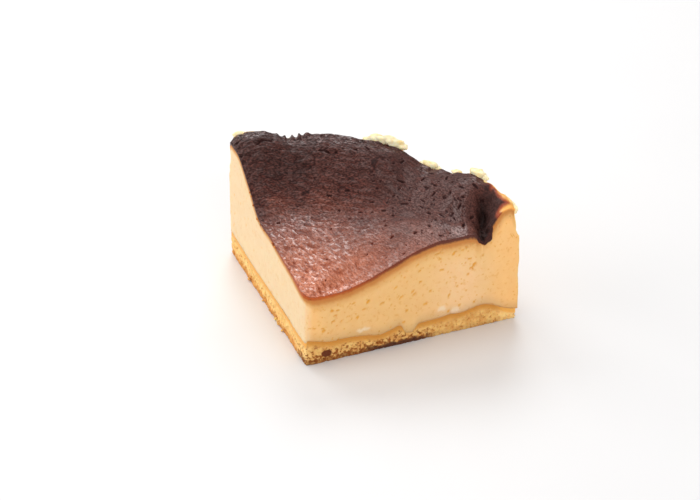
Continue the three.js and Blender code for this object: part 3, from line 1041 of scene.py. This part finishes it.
def cheeseMaterial():
    tones, form = cheeseTones, cheeseFinish
    bench = Bench("bakedCheese")
    patchy = bench.mottle(form["patch"], 3)
    fine = bench.mottle(form["fine"], 2)

    # cheese: mottled and flecked, with a brown band under the crust that fades through orange
    shaded, edge = bench.attribute("shaded"), bench.attribute("edge")
    cheese = bench.attributeTone("cheeseTone")
    cheese = bench.tint(patchy.step(*form["patched"]) * form["patchShare"], cheese, tones["patchTint"])
    flecks = bench.mottle(form["fleck"], 3).step(*form["flecked"])
    flecks = flecks * (form["fleckLeft"] + form["fleckRight"] * shaded)
    cheese = bench.tint(flecks, cheese, tones["fleckTint"])
    small = bench.spots(form["spot"], (fine - 0.5) * form["spotRagged"], form["spotReach"])
    cheese = bench.tint(small * (form["spotLeft"] + form["spotRight"] * shaded), cheese, tones["spotTint"])
    edge = edge + (fine - 0.5) * form["wanderFine"] + (patchy - 0.5) * form["wanderPatchy"]
    band = bench.mixColour(edge.step(*form["orange"]), bench.attributeTone("crustTone"), tones["orange"])
    band = bench.mixColour(edge.step(*form["golden"]), band, tones["golden"])
    cheese = bench.mixColour(edge.step(*form["cheese"]), band, cheese)
    height = patchy * form["dimplePatchy"] + fine * form["dimpleFine"]
    dimples = bench.bump(height, form["dimple"], form["dimpleDepth"])
    roughness = form["roughCheese"] + form["roughFine"] * fine
    cheeseBsdf = bench.softFood(cheese, roughness, form["soak"], dimples)

    # crust: redder between its wrinkles and folds, with painted shade deep in them and in its pits and
    # cracks, painted highlights on its crests and in fine streaks, and glossy in patches
    point, valley = bench.attribute("point"), bench.attribute("valley")
    slope, calm = bench.attribute("slope"), bench.attribute("calm")
    headings = [math.atan2(way[1], way[0]) for way in (wrinkleHeading, foldHeading)]
    turned = [{"Vector": bench.place, "Rotation": (0, 0, lie), "Scale": form["stretch"]} for lie in headings]
    streaky, folded = (bench.add("Mapping", {"vector_type": "TEXTURE"}, sockets) for sockets in turned)
    wrinkles = bench.mottle(form["wrinkle"], 1.5, place=streaky)
    relief = wrinkles * (1 - slope) + bench.mottle(form["fold"], place=folded) * slope
    threads = [bench.mottle(form["thread"], 2, 0.6, way) for way in (streaky, folded)]
    threads = threads[0] * (1 - slope) + threads[1] * slope
    crust = bench.attributeTone("crustTone")
    # between its wrinkles and folds: redder, with painted shade in the deepest valleys and at the point
    cleft = bench.mixColour(valley.step(*form["cleft"]), tones["cleft"], tones["cleftDeepShade"])
    crust = bench.tint(valley, crust, bench.mixColour(point, cleft, tones["cleftShadePoint"]))
    # painted highlights on the crust's crests, greyish, weaker at the point and where it is calm
    raised = relief.step(*form["raised"]) * (1 - valley) * (1 - calm)
    crust = bench.tint(raised, crust, bench.mixColour(point, tones["raised"], tones["raisedPoint"]))
    # painted shade and painted highlights in fine streaks over the crust, weaker at the point and where it is
    # calm
    streakShade, streakGlint = (bench.mixColour(point, tones[n], tones[n + "Point"]) for n in ("streakShade", "streakGlint"))
    crust = bench.tint(1 - calm, crust, bench.mixColour(threads.step(*form["threaded"]), streakShade, streakGlint))
    # painted shade: near black in the pits and cracks, redder at the point
    hollow = bench.attribute("pit").step(*form["hollow"])
    crust = bench.mixColour(hollow, crust, bench.mixColour(point, tones["pit"], tones["pitPale"]))
    height = relief * (form["bumpRest"] + form["bumpPoint"] * point) * (1 - calm) + fine * form["bumpFine"]
    bumps = bench.bump(height, 1.0, form["bumpDepth"])
    patches = relief.step(*form["glossPoint"]) * point + threads.step(*form["glossRest"]) * (1 - point)
    gloss = bench.attribute("sheen") * (form["glossLeast"] + patches * form["glossMore"])
    crustBsdf = bench.add("BsdfPrincipled", {}, {
        "Base Color": crust,
        "Roughness": form["roughRest"] - form["roughPoint"] * point,
        "Specular IOR Level": 0.22,
        "Coat Weight": gloss * (1 - hollow) * (1 - valley * form["glossCleft"]),
        "Coat Roughness": 0.17,
        "Coat IOR": 1.75,
        "Normal": bumps,
    })
    crusted = bench.attribute("depth").step(*form["crust"]) * (1 - bench.attribute("tear"))
    mixed = bench.add("MixShader", {}, {"Fac": crusted, 1: cheeseBsdf, 2: crustBsdf})
    return bench.finish(mixed)


# sponge sheet

spongeLook = {
    "cells": 300,
    "rows": 26,
    "crumb": 0.42,  # depth of the open crumb
    "proud": 0.05,  # how far it stands out from the cheese above it
    "hole": {"radius": 5.9, "height": 2.4, "halfWidth": 1.5, "halfHeight": 1.25, "depth": 1.2},
    # the closed skin under the top: its wander and where the crumb opens
    "skin": {"wander": 0.35, "grain": (2.2, 1.1), "depth": (0.9, 2.2), "break": 1.6},
    "bubbles": {"pitch": 1.0, "reach": 0.5},
    "frayed": {"coarse": 0.35, "coarseGrain": (3.0, 9.9), "fine": 0.25, "fineGrain": (1.2, 2.9)},
    "footing": {"least": 0.5, "height": (0.0, 0.5)},
    # from the left cut to the right, which sets the painted light and shade of its colours, and the parts
    # along the radius
    "right": (0.3, 0.8), "end": (53.5, 57), "point": (3, 9),
    "smoother": {"share": 0.25, "radius": (31, 38)}, "roughLeast": 0.15,
    "toast": {"start": (13, 21), "end": (31, 38)},
}


def spongeOuter(height, turn):
    return wedge["radius"] + wallForm["foot"] - spongeForm["inset"] + 0 * height


def spongeFloor(radius, turn):
    return 0 * radius


def makeSponge(material):
    look = spongeLook
    bm = squareRim(look["cells"])
    skin = sliceSkin("spongeSheet", bm, look["rows"], 1.0, spongeFloor, spongeTop, spongeOuter)
    radius, turn, height, points = skin["radius"], skin["turn"], skin["height"], skin["points"]
    below = spongeTop(np.minimum(radius, wedge["radius"]), turn) - height

    skinForm, bubbleForm, frayForm = look["skin"], look["bubbles"], look["frayed"]
    openness = smooth(below + skinForm["wander"] * grain(points, *skinForm["grain"]), *skinForm["depth"])
    cells = np.array([noise.voronoi(p)[0][0] for p in (points / bubbleForm["pitch"]).tolist()])
    bubbles = np.clip(1 - (cells / bubbleForm["reach"]) ** 2, 0, 1)
    frayed = sum(frayForm[size] * grain(points, *frayForm[size + "Grain"]) for size in ("coarse", "fine"))
    holeForm = look["hole"]
    hole = rightSpot(skin, *(holeForm[key] for key in ("radius", "height", "halfWidth", "halfHeight")))
    footing = blend(look["footing"]["least"], 1, smooth(height, *look["footing"]["height"]))
    relief = openness * (frayed - look["crumb"] * bubbles) - holeForm["depth"] * hole
    relief = relief * footing + look["proud"] + longWave(points)
    swellBy(skin, np.where(skin["top"], 0, relief))
    skin["points"][:, 2] = np.maximum(skin["points"][:, 2], 0)
    writePoints(skin)

    right, end = smooth(turn, *look["right"]), smooth(radius, *look["end"])
    away = smooth(radius, *look["point"])
    smoother, toast = look["smoother"], look["toast"]
    coarse = np.maximum(right * blend(1, smoother["share"], smooth(radius, *smoother["radius"])), 1 - away)
    marks = {
        "below": below + skinForm["break"] * spongeBreak(radius, turn),
        "bubble": bubbles * openness,
        "hole": hole,
        "shaded": right * (1 - end),
        "toast": right * smooth(radius, *toast["start"]) * (1 - smooth(radius, *toast["end"])),
        "rough": blend(look["roughLeast"], 1, coarse * (1 - end)),
        "foot": (1 - right) * away,
    }
    mesh = skin["mesh"]
    for name, values in marks.items():
        note(mesh, name, values)
    piece = finishPiece(mesh, "spongeSheet", material)
    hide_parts("sponge_base")
    print("sponge sheet: faces", len(mesh.polygons))


spongeTones = {
    # crumb, edge and skin colours: the Left ones painted lit, the Right ones painted shaded
    "crumbLeft": tone(254, 211, 138),
    "crumbLeftDark": tone(248, 197, 118),
    "crumbRight": tone(240, 194, 118),
    "crumbRightDark": tone(217, 158, 86),
    "gapLeft": tone(210, 142, 70),
    "gapRight": tone(142, 71, 14),
    "skinLeft": tone(252, 210, 140),
    "skinRight": tone(216, 152, 68),
    "edgeLeft": tone(243, 174, 82),
    "edgeRight": tone(206, 136, 54),
    "brown": tone(128, 68, 22),
    "footLeft": tone(226, 146, 66),
    "toast": tone(92, 52, 32),
    "hole": tone(118, 62, 36),
}

spongeFinish = {
    # sizes of the patterns in millimetres
    "patch": 2.4, "fine": 0.8, "grain": 0.8, "grainDepth": 0.25,
    "patched": (0.35, 0.7), "bubbled": (0.3, 0.9), "bubbleShare": 0.6,
    # dark gaps, painted shade in the crumb's holes: where they set in, and how they crowd towards the foot
    "gapShift": 0.13, "gapFoot": 0.45, "gapLevel": (4.5, 0.8, 0.06, 0.2), "gapped": (0.46, 0.64),
    "gapShare": 0.9,
    "lowWander": 3, "footLow": (2.8, 0.8), "footShare": 0.75, "brownLow": (1.8, 0.4), "brownShare": 0.7,
    "toastLow": (1.9, 0.9), "skinWander": 0.8, "skinEnd": (0.9, 2.2), "edge": (0.8, 2.0), "edgeRight": 0.7,
    "hole": (0.02, 0.3), "rough": (1.0, 2.2, 0.5, 0.85),
    "soak": {"weight": 0.15, "radius": (1.0, 0.5, 0.2), "depth": 2, "specular": 0.25},
}


def spongeMaterial():
    tones, form = spongeTones, spongeFinish
    bench = Bench("sponge")
    below, bubble, hole = (bench.attribute(n) for n in ("below", "bubble", "hole"))
    shaded, toast, rough, foot = (bench.attribute(n) for n in ("shaded", "toast", "rough", "foot"))
    level = bench.add("SeparateXYZ", {}, {"Vector": bench.place}, result=2) * (1 / mm)
    patchy = bench.mottle(form["patch"], 3)
    fine = bench.mottle(form["fine"], 2)
    # painted light and shade: lit colours on the left cut, shaded ones on the right
    pale, deep, edge, inner = (
        bench.mixColour(shaded, tones[left], tones[right])
        for left, right in (
            ("crumbLeft", "crumbRight"), ("crumbLeftDark", "crumbRightDark"),
            ("edgeLeft", "edgeRight"), ("skinLeft", "skinRight"),
        )
    )

    # crumb, with dark gaps of painted shade in its holes, that crowd towards the foot
    gap = bench.mixColour(rough, tones["gapLeft"], tones["gapRight"])
    crumb = bench.mixColour(patchy.step(*form["patched"]), pale, deep)
    crowding = (rough + form["gapFoot"] * foot) * level.step(*form["gapLevel"])
    pitted = (fine - form["gapShift"] + crowding).step(*form["gapped"])
    crumb = bench.mixColour(pitted * form["gapShare"], crumb, gap)
    crumb = bench.mixColour(bubble.step(*form["bubbled"]) * form["bubbleShare"] * rough, crumb, gap)
    low = level + (patchy - 0.5) * form["lowWander"]
    crumb = bench.mixColour(low.step(*form["footLow"]) * form["footShare"] * foot, crumb, tones["footLeft"])
    crumb = bench.mixColour(low.step(*form["brownLow"]) * form["brownShare"] * rough, crumb, tones["brown"])
    crumb = bench.mixColour(low.step(*form["toastLow"]) * toast, crumb, tones["toast"])

    # soaked skin along the top
    skin = bench.mixColour((below + shaded * form["edgeRight"]).step(*form["edge"]), edge, inner)
    whole = bench.mixColour((below + (patchy - 0.5) * form["skinWander"]).step(*form["skinEnd"]), skin, crumb)
    # painted shade: brown inside the hole in the right cut
    whole = bench.mixColour(hole.step(*form["hole"]), whole, tones["hole"])
    grainy = bench.bump(fine, form["grain"], form["grainDepth"])
    return bench.finish(bench.softFood(whole, below.step(*form["rough"]), form["soak"], grainy))


# loose bits: torn cheese behind the rim, crumbs of crust under its left edge, crumbs of sponge on the floor

looseBits = {
    "torn": {
        "drawn": 0.9,  # how far each is drawn out along the rim
        # paler than the cheese's torn edge: painted light, for light that shines through them from behind
        "light": tone(255, 238, 194),
        "dark": tone(254, 218, 154),
        # turn along the arc, radius, height and size of each lump
        "places": [
            (0.03, 58.6, 37.9, 1.0), (0.425, 58.9, 35.9, 1.1), (0.447, 59.0, 36.2, 1.4),
            (0.468, 58.9, 36.6, 1.3), (0.487, 59.1, 36.3, 1.5), (0.505, 59.0, 36.3, 1.3),
            (0.522, 59.2, 35.4, 1.2), (0.605, 59.0, 32.0, 1.0), (0.625, 59.1, 32.4, 1.2),
            (0.645, 59.2, 31.6, 0.9), (0.72, 58.9, 32.9, 0.9), (0.79, 59.3, 35.2, 1.2),
            (0.805, 59.2, 35.9, 1.3), (0.82, 59.3, 35.4, 1.2), (0.985, 58.8, 33.4, 1.0),
            (0.97, 59.0, 33.6, 0.9),
        ],
    },
    "crust": {
        "count": 12, "radius": (17, 46), "size": (0.2, 0.42), "sunk": (0.6, 1.6),
        "light": tone(214, 134, 60), "dark": tone(160, 82, 34),
    },
    "sponge": {
        "count": 8, "radius": (14, 46), "size": (0.2, 0.5), "reach": (-0.1, 0.4), "lift": 1.3,
        "light": tone(248, 204, 126), "dark": tone(224, 160, 82),
    },
    "shape": {
        "subdivisions": 3, "seedSteps": (7.3, 3.1, 5.7), "swell": 0.4,
        "pitch": 1.1, "finePitch": 2.6, "fine": 0.25,
    },
    "patch": 1.4, "fine": 0.4, "patched": (0.35, 0.7), "grain": 0.3, "grainDepth": 0.1, "roughness": 0.6,
    "soak": {"weight": 0.3, "radius": (1.0, 0.6, 0.3), "depth": 2, "specular": 0.3},
}


def lump(bm, centre, size, seed, drawn):  # drawn out along a vector
    form = looseBits["shape"]
    verts = bmesh.ops.create_icosphere(bm, subdivisions=form["subdivisions"], radius=size)["verts"]
    shift = Vector([seed * step for step in form["seedSteps"]])
    for vert in verts:
        swell = noise.noise(vert.co * (form["pitch"] / size) + shift)
        swell += form["fine"] * noise.noise(vert.co * (form["finePitch"] / size) + shift)
        vert.co = vert.co * (1 + form["swell"] * swell)
        vert.co += centre + drawn * vert.co.dot(drawn)


def lumpPiece(name, lumps, form):
    bm = bmesh.new()
    for seed, (radius, turn, height, size, outward) in enumerate(lumps):
        centre = slicePoint(radius, turn, height)
        alongRim = Vector((-centre[1], centre[0], 0)).normalized()
        lump(bm, Vector(centre) + Vector(outward), size, seed, alongRim * form.get("drawn", 0))
    mesh = intoMesh(bm, name)
    piece = finishPiece(mesh, name, bitMaterial(name, form["light"], form["dark"]))
    print("loose bits:", name, len(lumps))


def makeBits():
    still = (0, 0, 0)
    form = looseBits["torn"]
    torn = [(radius, turn, height, size, still) for turn, radius, height, size in form["places"]]
    lumpPiece("tornCheese", torn, form)
    form, crusts = looseBits["crust"], []
    for _ in range(form["count"]):
        radius, size = rng.uniform(*form["radius"]), rng.uniform(*form["size"])
        height = float(crustHeight(np.array([radius]), np.array([0.0]))[0]) - rng.uniform(*form["sunk"])
        crusts.append((radius, 0, height, size, still))
    lumpPiece("crustCrumbs", crusts, form)
    facing = Vector((-math.cos(wedge["angle"] / 2), -math.sin(wedge["angle"] / 2), 0))  # as the left cut does
    form, sponges = looseBits["sponge"], []
    for _ in range(form["count"]):
        radius, size = rng.uniform(*form["radius"]), rng.uniform(*form["size"])
        outward = facing * rng.uniform(*form["reach"])
        sponges.append((radius, 0, form["lift"] * size, size, outward))
    lumpPiece("spongeCrumbs", sponges, form)


def bitMaterial(name, light, dark):
    bench = Bench(name)
    patchy = bench.mottle(looseBits["patch"], 2)
    fine = bench.mottle(looseBits["fine"], 2)
    colour = bench.mixColour(patchy.step(*looseBits["patched"]), light, dark)
    bumps = bench.bump(fine, looseBits["grain"], looseBits["grainDepth"])
    return bench.finish(bench.softFood(colour, looseBits["roughness"], looseBits["soak"], bumps))


makeFilling(cheeseMaterial())
makeSponge(spongeMaterial())
makeBits()


# studio: floor, lights and the photo's camera

studio = {
    "floorSize": 3.0,
    "floorTones": (tone(228, 227, 227), tone(224, 223, 223)),
    "floorClouds": 60,  # millimetres
    "sky": 0.5,
    "top": {"from": (-0.1, 0.05, 1.0), "size": 0.7, "power": 2.6},
    "key": {"from": (-0.7, 0.35, 0.65), "size": 0.5, "power": 2.6},
    "side": {"from": (-0.85, -0.4, 0.4), "size": 0.9, "power": 3.8},
    "back": {"from": (-0.3, 0.75, 0.65), "size": 0.5, "power": 2.8},
    "fill": {"from": (0.7, -0.6, 0.4), "size": 0.8, "power": 3.6},
}

photoView = {
    "focal": 2000,  # in pixels, as the width
    "width": 700,
    "sensor": 36,
    "azimuth": 23.2,
    "elevation": 31.6,
    "distance": 566,
    "target": (-12.1, 57.2, 0),
}


def addLight(name, form):
    data = bpy.data.lights.new(name, "AREA")
    data.shape = "DISK"
    data.size = form["size"]
    data.energy = form["power"]
    light = addObject(name, data)
    light.location = form["from"]
    light.rotation_euler = (-Vector(form["from"])).to_track_quat("-Z", "Y").to_euler()


def makeStudio():
    bm = bmesh.new()
    bmesh.ops.create_grid(bm, x_segments=1, y_segments=1, size=studio["floorSize"] / 2)
    mesh = intoMesh(bm, "floor")
    bench = Bench("floor")
    shade = bench.mixColour(bench.mottle(studio["floorClouds"]), *studio["floorTones"])
    shader = bench.add("BsdfPrincipled", {}, {"Base Color": shade, "Roughness": 0.5})
    mesh.materials.append(bench.finish(shader))
    floor = addObject("floor", mesh)
    for name in ("top", "key", "side", "back", "fill"):
        addLight(name, studio[name])
    world = bpy.data.worlds.new("studio")
    world.use_nodes = True
    world.node_tree.nodes["Background"].inputs["Color"].default_value = (1, 1, 1, 1)
    world.node_tree.nodes["Background"].inputs["Strength"].default_value = studio["sky"]
    bpy.context.scene.world = world
    bpy.context.scene.view_settings.view_transform = "Standard"


def makeCamera():
    view = photoView
    azimuth, elevation = math.radians(view["azimuth"]), math.radians(view["elevation"])
    level = math.cos(elevation)
    back = Vector((math.sin(azimuth) * level, -math.cos(azimuth) * level, math.sin(elevation)))
    x, y, z = view["target"]
    target = Vector((x, y + wedge["axisY"], z)) * mm
    data = bpy.data.cameras.new("photoCamera")
    data.sensor_width = view["sensor"]
    data.lens = view["focal"] / view["width"] * view["sensor"]
    camera = addObject("photoCamera", data)
    camera.location = target + back * view["distance"] * mm
    camera.rotation_euler = (-back).to_track_quat("-Z", "Y").to_euler()
    bpy.context.scene.camera = camera


makeStudio()
makeCamera()
print("studio: lights and camera set")
